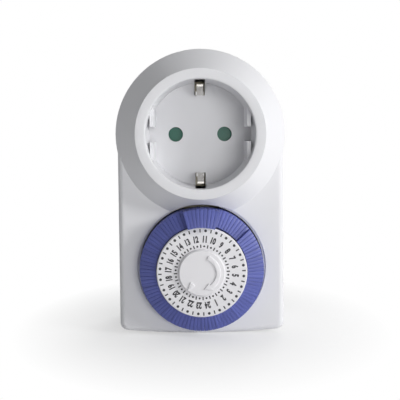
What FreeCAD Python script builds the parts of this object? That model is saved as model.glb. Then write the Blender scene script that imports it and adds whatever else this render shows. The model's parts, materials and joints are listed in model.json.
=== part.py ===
import FreeCAD, Part
import Sketcher
import math
import os

# Plug-in 24 hour timer switch. Millimetres, +Z up, the front looks along -Y.
# The origin is the middle of the plug's face, between its two pins. Levels are
# counted from there towards the front, so a level of 30 lies at y = -30.

SIZES = {
    # Housing
    "half_width": (31.1, "half the width of the body, and the radius of its top"),
    "bottom_drop": (75.5, "plug axis to the middle of the bottom edge"),
    "corner_drop": (74.0, "plug axis to the bottom edge at the sides"),
    "corner_radius": (3.0, "bottom corners of the body"),
    "wall": (2.0, "wall of both covers"),
    "front_round": (2.2, "rounding of the front edges"),
    "rear_round": (2.0, "rounding of the rear edges"),
    "back_level": (16.5, "back of the housing, which is also the plug's length"),
    "parting_level": (30.5, "joint between the covers"),
    "face_level": (47.5, "front face"),
    "rim_level": (56.0, "flat rim of the socket"),
    "collar_radius": (31.7, "foot of the socket's collar"),
    "collar_foot": (46.7, "level where the collar's cone starts"),
    "rim_width": (3.8, "flat rim, from the bore to its outer edge"),
    "collar_skin": (2.65, "collar wall, measured across the plug axis"),
    "rim_flat": (0.3, "edge of the collar left round the socket insert"),
    "close_fit": (0.02, "gap of the insert's flange in its seat"),
    "lip_height": (1.5, "lip that lines the covers up"),
    "lip_wall": (1.0, "thickness of that lip"),
    # Fits
    "slip": (0.1, "gap of a guided or inserted piece"),
    "run": (0.05, "radial gap of a journal"),
    "moving_gap": (0.3, "gap between pieces that move past each other"),
    # Socket
    "well_radius": (19.8, "bore of the socket"),
    "well_wall": (1.8, "wall of the socket"),
    "well_depth": (18.0, "rim to the socket's floor"),
    "floor_thick": (2.0, "socket floor"),
    "mouth_round": (0.8, "rounding of the socket's mouth"),
    "flange_thick": (1.6, "flange of the insert"),
    "pin_half_pitch": (9.5, "half the distance between the pins"),
    "pin_hole": (2.85, "radius of the socket's pin holes"),
    "rib_face": (17.1, "side ribs of the socket, from its axis"),
    "rib_wall": (1.4, "thickness of the side ribs"),
    "rib_groove": (2.75, "half the groove between two ribs"),
    "rib_height": (14.0, "side ribs above the floor"),
    "earth_slot": (2.0, "half width of the slots for the earth clips"),
    "earth_slot_inner": (15.0, "inner end of those slots"),
    # Plug
    "plug_radius": (18.4, "plug body"),
    "plug_face": (5.0, "thickness of the plug's face"),
    "plug_bore": (15.2, "hollow of the plug body"),
    "plug_flat_gap": (0.3, "plug's flats inside a socket's ribs"),
    "plug_groove": (3.0, "half width of the plug's earth grooves"),
    "plug_groove_floor": (16.0, "floor of those grooves, from the axis"),
    "pin_radius": (2.4, "contact pins"),
    "pin_length": (19.0, "contact pins beyond the plug's face"),
    "pin_neck": (1.9, "neck of a pin in the plug's face"),
    "pin_relief": (0.2, "bare neck in front of the plug's face"),
    "pin_ring": (3.0, "shallow ring round each pin in the plug's face"),
    "pin_ring_depth": (0.3, "depth of that ring"),
    "pin_head": (3.6, "head of a pin inside the plug"),
    "pin_head_thick": (2.0, "thickness of that head"),
    "pin_tail": (1.4, "riveted tail of a pin"),
    "pin_tail_length": (1.6, "length of that tail"),
    # Screws
    "post_inset": (5.6, "lower screws, in from the body's sides"),
    "post_z": (69.0, "lower screws, below the plug axis"),
    "shoulder_inset": (5.5, "upper screws, in from the body's sides"),
    "shoulder_z": (22.0, "upper screws, below the plug axis"),
    "rear_post": (3.4, "radius of the rear cover's posts"),
    "front_boss": (2.75, "radius of the front cover's bosses"),
    "screw_core": (1.1, "hole for the thread"),
    "screw_shank": (1.4, "housing screws"),
    "screw_head": (2.7, "head of a housing screw"),
    "screw_head_thick": (1.8, "height of that head"),
    "screw_sink": (8.0, "depth of the screw's recess"),
    "screw_length": (15.0, "screw below its head"),
    # Dial
    "dial_drop": (49.8, "plug axis down to the dial's axis"),
    "dial_hole": (23.4, "hole in the front cover"),
    "dial_rim": (24.15, "recessed ring round that hole"),
    "rim_recess": (0.8, "depth of that ring"),
    "tappet_outer": (22.9, "outer wall of the tappets"),
    "tappet_inner": (16.6, "inner end of the tappets"),
    "tappet_count": (96.0, "tappets, one for 15 minutes"),
    "tappet_part": (0.94, "share of its pitch that a tappet fills"),
    "tappet_edge": (52.5, "outer edge of a tappet that is neither up nor down"),
    "tappet_rise": (2.5, "its inner end stands this much higher"),
    "tappet_skirt": (8.0, "height of the outer wall"),
    "skirt_wall": (1.7, "thickness of the outer wall"),
    "first_raised": (-5.0, "place of the first raised tappet, clockwise from the top"),
    "first_pushed": (4.0, "place of the first pushed tappet"),
    "first_level": (13.0, "place of the first level tappet after the pushed ones"),
    "tappet_up": (5.0, "raised tappets, above the others"),
    "tappet_down": (1.8, "pushed tappets, below the others"),
    "lug_inner": (14.9, "inner end of a tappet's lug"),
    "lug_level": (48.3, "under side of that lug"),
    "lug_thick": (2.0, "thickness of that lug"),
    "stem_inner": (17.5, "stem between the guide fins, inner side"),
    "stem_outer": (20.5, "stem, outer side"),
    "stem_part": (0.52, "share of its pitch that a stem fills"),
    "foot_level": (38.9, "foot of the stem"),
    "fin_half": (0.14, "half the thickness of a guide fin"),
    "disc_radius": (16.4, "number disc"),
    "disc_front": (57.0, "front of the number disc"),
    "disc_thick": (1.6, "number disc"),
    "cap_radius": (8.4, "fixed disc in the middle"),
    "cap_thick": (1.0, "fixed disc in the middle"),
    "cap_stem": (1.95, "stem of the fixed disc"),
    "cap_stem_length": (7.0, "length of that stem"),
    "pillar_radius": (4.0, "pillar that the dial turns on"),
    "hub_wall": (1.9, "hub of the dial"),
    "drum_wall": (1.7, "drum behind the number disc"),
    "shoulder_wall": (1.5, "shoulder that stops the pushed tappets"),
    "dial_hour": (11.367, "hour that points straight up"),
    # Gears
    "tooth_module": (0.5, "size of the teeth"),
    "dial_teeth": (60.0, "dial gear"),
    "idler_small": (12.0, "small wheel of the idler"),
    "idler_large": (48.0, "large wheel of the idler"),
    "motor_teeth": (12.0, "motor pinion"),
    "gear_thick": (1.8, "dial gear and small wheel"),
    "wheel_thick": (1.7, "large wheel and motor pinion"),
    "mesh_gap": (0.05, "added to each distance between gears"),
    "idler_angle": (56.0, "direction from the dial to the idler"),
    "motor_angle": (-75.0, "direction from the idler to the motor pinion"),
    "idler_journal": (2.4, "idler's journal in the movement plate"),
    "pivot_radius": (1.0, "rear pivots"),
    "pivot_post": (2.5, "post that holds the idler's rear pivot"),
    # Movement plate
    "plate_level": (32.7, "back of the movement plate"),
    "plate_thick": (1.5, "movement plate"),
    "plate_gap": (0.6, "gap between the plate and the covers' sides"),
    "plate_bottom": (71.6, "plate's lower edge below the plug axis"),
    "plate_top": (25.0, "plate's upper edge below the plug axis"),
    "ear_top": (18.4, "upper edge of the plate's two ears"),
    "ear_inner": (22.0, "inner edge of those ears"),
    # Motor
    "motor_radius": (13.5, "motor case"),
    "motor_front": (29.5, "front of the motor case"),
    "motor_back": (18.9, "back of the motor case"),
    "motor_offset_x": (5.0, "motor pinion from the case's axis, sideways"),
    "motor_offset_z": (7.6, "motor pinion above the case's axis"),
    "motor_ear": (16.5, "motor screws from the case's axis"),
    "motor_ear_angle": (20.0, "direction of the right motor ear"),
    "ear_radius": (2.6, "motor ears and their spacers"),
    "ear_thick": (1.2, "motor ears"),
    "small_screw": (1.0, "small screws"),
    "small_head": (1.9, "heads of the small screws"),
    "small_head_thick": (1.2, "height of those heads"),
    "small_length": (4.0, "small screws below their heads"),
    # Contacts
    "strip": (0.8, "thickness of the brass strips"),
    "strip_half": (3.2, "half the width of the strips at the pins"),
    "sleeve_bore": (2.45, "bore of the contact sleeves"),
    "sleeve_wall": (0.65, "wall of the contact sleeves"),
    "sleeve_back": (21.0, "rear end of the contact sleeves"),
    "sleeve_collar": (4.2, "collar of the contact sleeves"),
    "block_level": (31.4, "back of the contact block"),
    "block_thick": (2.0, "contact block"),
    "block_radius": (20.6, "contact block"),
    "leg_outer": (14.4, "upright legs of the strips, from the middle"),
    "switch_x": (19.0, "switch, left of the middle"),
    "switch_half": (3.0, "half the width of the switch's strips"),
    "inlet_level": (21.2, "back of the fixed contact's strip"),
    "arm_level": (25.6, "back of the contact arm"),
    "arm_half": (2.5, "half the width of the contact arm"),
    "arm_top": (43.5, "upper end of the contact arm"),
    "arm_foot": (68.5, "lower end of the contact arm"),
    "bead_radius": (0.6, "rolled foot that the contact arm rocks on"),
    "contact_z": (45.5, "contacts, below the plug axis"),
    "contact_radius": (1.5, "silver contacts"),
    "contact_gap": (0.2, "gap between the contacts in the model"),
    "follower_radius": (1.5, "cam follower"),
    "follower_head": (2.4, "collar of the cam follower"),
    "follower_tip": (36.8, "tip of the cam follower"),
    "follower_travel": (1.8, "travel of the cam follower"),
    "bushing_radius": (3.2, "bushing of the cam follower"),
    "coil_radius": (1.5, "contact spring, middle of its wire"),
    "coil_wire": (0.25, "radius of its wire"),
    "coil_turns": (5.0, "turns of the contact spring"),
    "coil_drop": (56.0, "contact spring, below the plug axis"),
    # Shutter
    "shutter_thick": (2.0, "shutter"),
    "shutter_half": (3.4, "half the height of the shutter"),
    "shutter_flap": (3.2, "half the width of a shutter's flap"),
    "shutter_travel": (6.4, "travel of the shutter"),
    "shutter_neck": (1.5, "half the height of the bar between the flaps"),
    "spring_drop": (8.0, "shutter spring above the plug axis"),
    "spring_radius": (0.95, "shutter spring, middle of its wire"),
    "spring_wire": (0.2, "radius of its wire"),
    "spring_turns": (6.0, "turns of the shutter spring"),
    "spring_start": (-8.0, "left end of the shutter spring"),
    "spring_end": (4.6, "right end of the shutter spring"),
    # Earth
    "earth_half": (1.2, "half the width of the earth clips"),
    "earth_sheet": (0.7, "sheet of the earth clips"),
    "earth_arm": (15.9, "inner side of the front clip's arms, from the axis"),
    "earth_bump": (14.7, "contact bump of the front clip"),
    "earth_tip": (18.4, "tip of the front clip"),
    "plug_arm": (16.2, "inner side of the rear clip's arms"),
    "plug_bump": (18.0, "contact bump of the rear clip"),
    "rivet_radius": (1.2, "earth rivet"),
    "rivet_head": (2.1, "head of the earth rivet"),
    "rivet_pad": (2.5, "round pad of an earth clip under the rivet's head"),
}

document = FreeCAD.newDocument("PlugInTimer")
sheet = document.addObject("Spreadsheet::Sheet", "Dimensions")


class Size:
    """A size: its value now, and the sheet expression that it follows."""

    def __init__(self, value, text):
        self.value = float(value)
        self.text = text

    def joined(self, other, sign, value):
        return Size(value, f"({self.text} {sign} {as_size(other).text})")

    def __add__(self, other):
        return self.joined(other, "+", self.value + as_size(other).value)

    def __sub__(self, other):
        return self.joined(other, "-", self.value - as_size(other).value)

    def __mul__(self, other):
        return self.joined(other, "*", self.value * as_size(other).value)

    def __truediv__(self, other):
        return self.joined(other, "/", self.value / as_size(other).value)

    def __radd__(self, other):
        return as_size(other) + self

    def __rsub__(self, other):
        return as_size(other) - self

    def __rmul__(self, other):
        return as_size(other) * self

    def __rtruediv__(self, other):
        return as_size(other) / self

    def __neg__(self):
        return Size(-self.value, f"(0 - {self.text})")

    def sine(self):
        return Size(math.sin(math.radians(self.value)), f"sin({self.text} * 1 deg)")

    def cosine(self):
        return Size(math.cos(math.radians(self.value)), f"cos({self.text} * 1 deg)")

    def root(self):
        return Size(math.sqrt(self.value), f"sqrt({self.text})")


def as_size(number):
    return number if isinstance(number, Size) else Size(number, repr(float(number)))


class Named:
    """The sheet's sizes by name."""


def fill_sheet():
    named = Named()
    for row, (name, (value, meaning)) in enumerate(SIZES.items(), start=1):
        sheet.set(f"A{row}", name)
        sheet.set(f"B{row}", str(value))
        sheet.set(f"C{row}", meaning)
        sheet.setAlias(f"B{row}", name)
        setattr(named, name, Size(value, f"Dimensions.{name}"))
    document.recompute()
    return named


size = fill_sheet()
zero = as_size(0.0)


# Sketches

def origin_plane(body, role):
    return [item for item in body.Origin.OriginFeatures if item.Role == role][0]


def sketch_on(body, role, name, offset=zero, turn=None):
    sketch = body.newObject("Sketcher::SketchObject", name)
    sketch.AttachmentSupport = (origin_plane(body, role), [""])
    sketch.MapMode = "FlatFace"
    if turn is not None:
        axis = FreeCAD.Vector(0, 0, 1)
        sketch.AttachmentOffset = FreeCAD.Placement(
            FreeCAD.Vector(0, 0, offset.value), FreeCAD.Rotation(axis, turn.value))
        sketch.setExpression("AttachmentOffset.Rotation.Angle", turn.text)
    sketch.setExpression("AttachmentOffset.Base.z", offset.text)
    return sketch


def hold(sketch, kind, *where, size_of):
    index = sketch.addConstraint(Sketcher.Constraint(kind, *where, size_of.value))
    sketch.setExpression(f"Constraints[{index}]", size_of.text)


def pin_point(sketch, geometry, end, across, up):
    across = as_size(across)
    up = as_size(up)
    if abs(across.value) < 1e-9:
        sketch.addConstraint(Sketcher.Constraint("PointOnObject", geometry, end, -2))
    else:
        hold(sketch, "DistanceX", -1, 1, geometry, end, size_of=across)
    if abs(up.value) < 1e-9:
        sketch.addConstraint(Sketcher.Constraint("PointOnObject", geometry, end, -1))
    else:
        hold(sketch, "DistanceY", -1, 1, geometry, end, size_of=up)


def flat_point(across, up):
    return FreeCAD.Vector(as_size(across).value, as_size(up).value, 0)


def disc(across, up, radius):
    """Draws a circle."""
    def draw(sketch):
        centre = flat_point(across, up)
        circle = Part.Circle(centre, FreeCAD.Vector(0, 0, 1), radius.value)
        index = sketch.addGeometry(circle, False)
        hold(sketch, "Radius", index, size_of=radius)
        pin_point(sketch, index, 3, across, up)
    return draw


def outline(points):
    """Draws a closed shape with straight edges."""
    def draw(sketch):
        count = len(points)
        first = sketch.GeometryCount
        for i in range(count):
            start = flat_point(*points[i])
            end = flat_point(*points[(i + 1) % count])
            sketch.addGeometry(Part.LineSegment(start, end), False)
        for i in range(count):
            following = first + (i + 1) % count
            sketch.addConstraint(Sketcher.Constraint("Coincident", first + i, 2, following, 1))
            pin_point(sketch, first + i, 1, *points[i])
    return draw


def rectangle(left, right, low, high):
    """Draws a rectangle."""
    return outline([(left, low), (right, low), (right, high), (left, high)])


def body_outline(inset):
    """Draws the body's outline: round top, straight sides, bulging bottom edge."""
    def draw(sketch):
        half = size.half_width - inset
        low = size.corner_drop - inset
        sag = size.bottom_drop - size.corner_drop
        bow = (half * half + sag * sag) / (2 * sag)
        middle = low + sag - bow
        swing = math.atan2(half.value, low.value - middle.value)
        upright = FreeCAD.Vector(0, 0, 1)
        top = Part.ArcOfCircle(Part.Circle(FreeCAD.Vector(), upright, half.value), 0, math.pi)
        base = Part.Circle(FreeCAD.Vector(0, -middle.value, 0), upright, bow.value)
        bottom = Part.ArcOfCircle(base, -math.pi / 2 - swing, -math.pi / 2 + swing)
        left = Part.LineSegment(flat_point(-half, 0), flat_point(-half, -low))
        right = Part.LineSegment(flat_point(half, -low), flat_point(half, 0))
        a = sketch.addGeometry(top, False)
        b = sketch.addGeometry(left, False)
        c = sketch.addGeometry(bottom, False)
        d = sketch.addGeometry(right, False)
        for pair in ((a, 2, b, 1), (b, 2, c, 1), (c, 2, d, 1), (d, 2, a, 1)):
            sketch.addConstraint(Sketcher.Constraint("Coincident", *pair))
        sketch.addConstraint(Sketcher.Constraint("Coincident", a, 3, -1, 1))
        hold(sketch, "Radius", a, size_of=half)
        sketch.addConstraint(Sketcher.Constraint("PointOnObject", a, 1, -1))
        sketch.addConstraint(Sketcher.Constraint("PointOnObject", a, 2, -1))
        sketch.addConstraint(Sketcher.Constraint("Vertical", b))
        sketch.addConstraint(Sketcher.Constraint("Vertical", d))
        hold(sketch, "DistanceY", -1, 1, b, 2, size_of=-low)
        hold(sketch, "DistanceY", -1, 1, d, 1, size_of=-low)
        hold(sketch, "Radius", c, size_of=bow)
    return draw


# Features

def new_body(name, across=None, drop=None):
    body = document.addObject("PartDesign::Body", name)
    body.Label = name
    if across is not None:
        body.setExpression("Placement.Base.x", across.text)
    if drop is not None:
        body.setExpression("Placement.Base.z", (-drop).text)
    return body


def draw_all(sketch, drawings):
    for draw in drawings:
        draw(sketch)


def boss(body, name, drawings, back, front, turn=None):
    """Adds what is drawn, from one level forward to another."""
    back = as_size(back)
    sketch = sketch_on(body, "XZ_Plane", f"{name}_sketch", back, turn)
    draw_all(sketch, drawings)
    feature = body.newObject("PartDesign::Pad", name)
    feature.Profile = sketch
    feature.setExpression("Length", (as_size(front) - back).text)
    return feature


def recess(body, name, drawings, back, front):
    """Cuts what is drawn, from one level forward to another."""
    back = as_size(back)
    sketch = sketch_on(body, "XZ_Plane", f"{name}_sketch", back)
    draw_all(sketch, drawings)
    feature = body.newObject("PartDesign::Pocket", name)
    feature.Profile = sketch
    feature.Reversed = True
    feature.setExpression("Length", (as_size(front) - back).text)
    return feature


def turned(body, name, profile, cut=False, angle=None):
    """Adds or cuts a turned form; the profile holds pairs of level and radius."""
    sketch = sketch_on(body, "YZ_Plane", f"{name}_sketch")
    outline([(-as_size(level), radius) for level, radius in profile])(sketch)
    kind = "PartDesign::Groove" if cut else "PartDesign::Revolution"
    feature = body.newObject(kind, name)
    feature.Profile = sketch
    feature.ReferenceAxis = (sketch, ["H_Axis"])
    if angle is None:
        feature.Angle = 360
    else:
        feature.Midplane = True
        feature.setExpression("Angle", angle.text)
    return feature


def bent(body, name, profile, half, across=zero):
    """Adds a strip bent in the upright plane; the profile holds level and height."""
    sketch = sketch_on(body, "YZ_Plane", f"{name}_sketch", across)
    outline([(-as_size(level), height) for level, height in profile])(sketch)
    feature = body.newObject("PartDesign::Pad", name)
    feature.Profile = sketch
    feature.SideType = "Symmetric"
    feature.setExpression("Length", (half * 2).text)
    return feature


def folded(body, name, profile, half):
    """Adds a strip bent in the level plane; the profile holds across and level."""
    sketch = sketch_on(body, "XY_Plane", f"{name}_sketch")
    outline([(across, -as_size(level)) for across, level in profile])(sketch)
    feature = body.newObject("PartDesign::Pad", name)
    feature.Profile = sketch
    feature.SideType = "Symmetric"
    feature.setExpression("Length", (half * 2).text)
    return feature


def ring_of(body, name, feature, count):
    """Repeats a feature round the body's own axis."""
    pattern = body.newObject("PartDesign::PolarPattern", name)
    pattern.Originals = [feature]
    pattern.Axis = (origin_line(body, "Y_Axis"), [""])
    pattern.Angle = 360
    pattern.setExpression("Occurrences", count.text)
    body.Tip = pattern
    return pattern


def origin_line(body, role):
    return [item for item in body.Origin.OriginFeatures if item.Role == role][0]


def rounded(body, name, radius, chosen):
    """Rounds the edges that the test picks."""
    document.recompute()
    base = body.Tip
    edges = base.Shape.Edges
    names = [f"Edge{i}" for i, edge in enumerate(edges, start=1) if chosen(edge)]
    feature = body.newObject("PartDesign::Fillet", name)
    feature.Base = (base, names)
    feature.setExpression("Radius", radius.text)
    return feature


def lies_at(edge, level):
    box = edge.BoundBox
    return abs(box.YMin + level.value) < 1e-4 and abs(box.YMax + level.value) < 1e-4


# Places that several pieces share

rim_radius = size.well_radius + size.rim_width
post_x = size.half_width - size.post_inset
shoulder_x = size.half_width - size.shoulder_inset
plate_half = size.half_width - size.wall - size.plate_gap
floor_front = size.rim_level - size.well_depth
floor_back = floor_front - size.floor_thick
block_front = size.block_level + size.block_thick
plate_front = size.plate_level + size.plate_thick
foot_down = size.foot_level - size.tappet_down
gear_front = foot_down - 0.5
gear_back = gear_front - size.gear_thick
disc_back = size.disc_front - size.disc_thick
shoulder_level = size.lug_level - size.tappet_down - size.slip
drum_outer = size.lug_inner - size.slip
drum_inner = drum_outer - size.drum_wall
shoulder_outer = drum_outer + size.shoulder_wall
wheel_back = size.motor_front + 0.6
wheel_front = wheel_back + size.wheel_thick
pitch = 360 / size.tappet_count

idler_gap = size.tooth_module * (size.dial_teeth + size.idler_small) / 2 + size.mesh_gap
motor_gap = size.tooth_module * (size.idler_large + size.motor_teeth) / 2 + size.mesh_gap
idler_x = idler_gap * size.idler_angle.cosine()
idler_drop = size.dial_drop - idler_gap * size.idler_angle.sine()
pinion_x = idler_x + motor_gap * size.motor_angle.cosine()
pinion_drop = idler_drop - motor_gap * size.motor_angle.sine()
motor_x = pinion_x - size.motor_offset_x
motor_drop = pinion_drop + size.motor_offset_z
ear_x = size.motor_ear * size.motor_ear_angle.cosine()
ear_z = size.motor_ear * size.motor_ear_angle.sine()

screw_places = [(-post_x, -size.post_z), (post_x, -size.post_z),
                (-shoulder_x, -size.shoulder_z), (shoulder_x, -size.shoulder_z)]
motor_screw_places = [(motor_x + ear_x, ear_z - motor_drop), (motor_x - ear_x, -motor_drop - ear_z)]
block_screw_places = [(size.pin_half_pitch + 3, -size.pin_half_pitch),
                      (-size.pin_half_pitch - 3, size.pin_half_pitch)]


def discs(places, radius):
    return [disc(across, up, radius) for across, up in places]


# Housing

def make_front_cover():
    body = new_body("front_cover")
    inner = body_outline(size.wall)
    boss(body, "shell", [body_outline(zero)], size.parting_level, size.face_level)
    rounded(body, "corners", size.corner_radius, is_corner)
    rounded(body, "front_edges", size.front_round,
            lambda edge: lies_at(edge, size.face_level))
    foot = size.collar_foot - 1.2
    turned(body, "collar", [(foot, 10), (foot, size.collar_radius),
                            (size.collar_foot, size.collar_radius),
                            (size.rim_level, rim_radius), (size.rim_level, 10)])
    recess(body, "hollow", [inner], size.parting_level, size.face_level - size.wall)
    slope = (size.collar_radius - rim_radius) / (size.rim_level - size.collar_foot)
    tube = size.well_radius + size.well_wall + size.slip + 1.5
    start = size.face_level - size.wall - 0.1
    reach = size.half_width - size.wall
    inner_foot = size.collar_radius - size.collar_skin
    bend = size.collar_foot + (inner_foot - reach) / slope
    tip = size.collar_foot + (inner_foot - tube) / slope
    turned(body, "collar_hollow", [(start, tube), (start, reach), (bend, reach), (tip, tube)],
           cut=True, angle=as_size(300))
    seat = rim_radius - size.rim_flat
    ledge = size.rim_level - size.flange_thick
    hole = size.well_radius + size.well_wall + size.slip
    recess(body, "socket_hole", [disc(0, 0, hole)], size.parting_level, size.rim_level + 1)
    recess(body, "flange_seat", [disc(0, 0, seat)], ledge, size.rim_level + 1)
    ring = size.face_level - size.rim_recess
    recess(body, "dial_ring", [disc(0, -size.dial_drop, size.dial_rim)], ring, size.rim_level)
    recess(body, "dial_opening", [disc(0, -size.dial_drop, size.dial_hole)],
           size.parting_level, size.rim_level)
    boss(body, "bosses", discs(screw_places, size.front_boss), plate_front,
         size.face_level - size.wall + 0.5)
    recess(body, "thread_holes", discs(screw_places, size.screw_core), plate_front,
           size.face_level - size.wall - 1)
    return body


def is_corner(edge):
    """Picks the two upright edges where the sides meet the bottom."""
    box = edge.BoundBox
    return box.XLength < 1e-4 and box.ZLength < 1e-4 and box.ZMax < -size.corner_drop.value / 2


def make_rear_cover():
    body = new_body("rear_cover")
    boss(body, "shell", [body_outline(zero)], size.back_level, size.parting_level)
    rounded(body, "corners", size.corner_radius, is_corner)
    rounded(body, "rear_edges", size.rear_round,
            lambda edge: lies_at(edge, size.back_level))
    inside = size.back_level + size.wall
    recess(body, "hollow", [body_outline(size.wall)], inside, size.parting_level + 1)
    rim = size.wall + size.slip
    boss(body, "lip", [body_outline(rim), body_outline(rim + size.lip_wall)],
         size.parting_level - 1, size.parting_level + size.lip_height)
    join = body_outline(size.wall - 0.4)
    boss(body, "lip_foot", [join, body_outline(rim + size.lip_wall)],
         size.parting_level - 2.5, size.parting_level - 1)
    boss(body, "plug", [disc(0, 0, size.plug_radius)], 0, size.back_level + 0.5)
    flat = size.rib_face - size.plug_flat_gap
    key = size.rib_groove - size.plug_flat_gap
    beyond = size.plug_radius + 1
    sides = [rectangle(flat, beyond, key, beyond), rectangle(flat, beyond, -beyond, -key),
             rectangle(-beyond, -flat, key, beyond), rectangle(-beyond, -flat, -beyond, -key)]
    recess(body, "flats", sides, -1, size.back_level)
    grooves = [rectangle(-size.plug_groove, size.plug_groove, size.plug_groove_floor, beyond),
               rectangle(-size.plug_groove, size.plug_groove, -beyond, -size.plug_groove_floor)]
    recess(body, "earth_grooves", grooves, -1, size.back_level)
    window = size.plug_radius + 0.2
    slots = [rectangle(-size.plug_groove, size.plug_groove, size.plug_groove_floor, window),
             rectangle(-size.plug_groove, size.plug_groove, -window, -size.plug_groove_floor)]
    recess(body, "earth_slots", slots, size.back_level - 1, inside + 1)
    recess(body, "plug_hollow", [disc(0, 0, size.plug_bore)], size.plug_face, inside + 1)
    pins = [(-size.pin_half_pitch, zero), (size.pin_half_pitch, zero)]
    recess(body, "pin_holes", discs(pins, size.pin_neck + size.close_fit), -1, size.plug_face + 1)
    recess(body, "pin_rings", discs(pins, size.pin_ring), -1, size.pin_ring_depth)
    boss(body, "posts", discs(screw_places, size.rear_post), size.back_level + 0.5,
         size.plate_level)
    recess(body, "screw_holes", discs(screw_places, size.screw_shank + size.slip * 2),
           size.back_level - 1, size.plate_level + 1)
    recess(body, "screw_recesses", discs(screw_places, size.screw_head + size.slip * 2),
           size.back_level - 1, size.back_level + size.screw_sink)
    place = [(idler_x, -idler_drop)]
    boss(body, "pivot_post", discs(place, size.pivot_post), inside - 0.5, wheel_back - 0.3)
    recess(body, "pivot_hole", discs(place, size.pivot_radius + size.run), wheel_back - 3.3,
           wheel_back + 1)
    return body


def make_socket_insert():
    body = new_body("socket_insert")
    outer = size.well_radius + size.well_wall
    flange = rim_radius - size.rim_flat - size.close_fit
    ledge = size.rim_level - size.flange_thick
    turned(body, "cup", [(floor_back, 0), (floor_back, outer), (ledge, outer), (ledge, flange),
                         (size.rim_level, flange), (size.rim_level, 0)])
    mouth = size.well_radius + size.mouth_round
    half = size.mouth_round * 0.3
    turned(body, "well", [(floor_front, 0), (floor_front, size.well_radius),
                          (size.rim_level - size.mouth_round * 1.4, size.well_radius),
                          (size.rim_level - half, size.well_radius + half),
                          (size.rim_level, mouth), (size.rim_level + 1, mouth),
                          (size.rim_level + 1, 0)], cut=True)
    chord = (size.well_radius * size.well_radius - size.rib_face * size.rib_face).root()
    behind = size.rib_face + size.rib_wall
    edge = chord + 0.5
    ribs = [outline([(side * size.rib_face, turn * size.rib_groove),
                     (side * behind, turn * size.rib_groove),
                     (side * behind, turn * (edge - 2.4)), (side * size.rib_face, turn * edge)])
            for side in (1, -1) for turn in (1, -1)]
    boss(body, "ribs", ribs, floor_front - 0.5, floor_front + size.rib_height)
    holes = [(-size.pin_half_pitch, zero), (size.pin_half_pitch, zero)]
    recess(body, "pin_holes", discs(holes, size.pin_hole), floor_back - 1, floor_front + 1)
    slot = size.earth_slot
    high = outer + 1
    slots = [rectangle(-slot, slot, size.earth_slot_inner, high),
             rectangle(-slot, slot, -high, -size.earth_slot_inner)]
    recess(body, "earth_slots", slots, floor_back - 1, ledge - 0.6)
    boss(body, "posts", discs(block_screw_places, as_size(2.2)), block_front,
         floor_back + 0.5)
    recess(body, "post_holes", discs(block_screw_places, size.small_screw), block_front - 1,
           floor_back + 1)
    stop = [rectangle(size.spring_start - 1.6, size.spring_start - 0.2,
                      size.spring_drop - 1.6, size.spring_drop + 1.6)]
    boss(body, "spring_stop", stop, block_front + 0.1, floor_back + 0.5)
    return body


def make_screws(name, places, shank, head, head_thick, head_front, length):
    """Screws in from the back; the drive slot is left to the finish."""
    body_shapes = []
    for across, up in places:
        middle = FreeCAD.Vector(across.value, 0, up.value)
        forward = FreeCAD.Vector(0, -1, 0)
        start = middle + forward * (head_front - head_thick)
        cap = Part.makeCylinder(head, head_thick, start, forward)
        rod = Part.makeCylinder(shank, length, middle + forward * head_front, forward)
        cross = Part.makeBox(head, head_thick * 0.6, head * 0.3)
        cross.translate(start + FreeCAD.Vector(-head / 2, -head_thick * 0.6, -head * 0.15))
        body_shapes.append(cap.fuse(rod).cut(cross))
    feature = document.addObject("Part::Feature", name)
    feature.Label = name
    feature.Shape = Part.makeCompound(body_shapes)
    return feature


# Socket contacts, pins and strips

def make_contact_block():
    body = new_body("contact_block")
    boss(body, "disc", [disc(0, 0, size.block_radius)], size.block_level, block_front)
    pins = [(-size.pin_half_pitch, zero), (size.pin_half_pitch, zero)]
    sleeve = size.sleeve_bore + size.sleeve_wall
    recess(body, "sleeve_holes", discs(pins, sleeve + size.slip), size.block_level - 1,
           block_front + 1)
    slot = size.earth_half + 0.3
    outer = size.earth_arm + size.earth_sheet + 0.3
    inner = size.earth_arm - 0.4
    slots = [rectangle(-slot, slot, inner, outer), rectangle(-slot, slot, -outer, -inner)]
    recess(body, "earth_slots", slots, size.block_level - 1, block_front + 1)
    recess(body, "screw_holes", discs(block_screw_places, size.small_screw + size.slip),
           size.block_level - 1, block_front + 1)
    recess(body, "rivet_hole", [disc(0, 0, size.rivet_radius + size.slip)],
           size.block_level - 1, block_front + 1)
    return body


def make_sleeve(name, side):
    body = new_body(name, across=side * size.pin_half_pitch)
    bore = size.sleeve_bore
    outer = bore + size.sleeve_wall
    front = block_front - 0.3
    collar = size.block_level - 0.7
    turned(body, "tube", [(size.sleeve_back, bore), (size.sleeve_back, outer), (collar, outer),
                          (collar, size.sleeve_collar), (size.block_level, size.sleeve_collar),
                          (size.block_level, outer), (front, outer), (front, bore)])
    slit = as_size(0.35)
    recess(body, "slits", [rectangle(-slit, slit, -outer - 1, outer + 1)],
           size.sleeve_back - 1, size.sleeve_back + 6)
    return body


def make_pin(name, side):
    body = new_body(name, across=side * size.pin_half_pitch)
    face = size.plug_face
    head = face + size.pin_head_thick
    tip = -size.pin_length
    neck = size.pin_neck
    bare = -size.pin_relief
    turned(body, "pin", [(tip, 0), (tip, size.pin_radius - 1), (tip + 1.2, size.pin_radius),
                         (bare, size.pin_radius), (bare, neck), (face, neck),
                         (face, size.pin_head), (head, size.pin_head),
                         (head, size.pin_tail), (head + size.pin_tail_length, size.pin_tail),
                         (head + size.pin_tail_length, 0)])
    return body


bar_back = size.plug_face + size.pin_head_thick
bar_front = bar_back + size.strip
sleeve_bar_front = size.block_level - 0.7
sleeve_bar_back = sleeve_bar_front - size.strip


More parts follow.
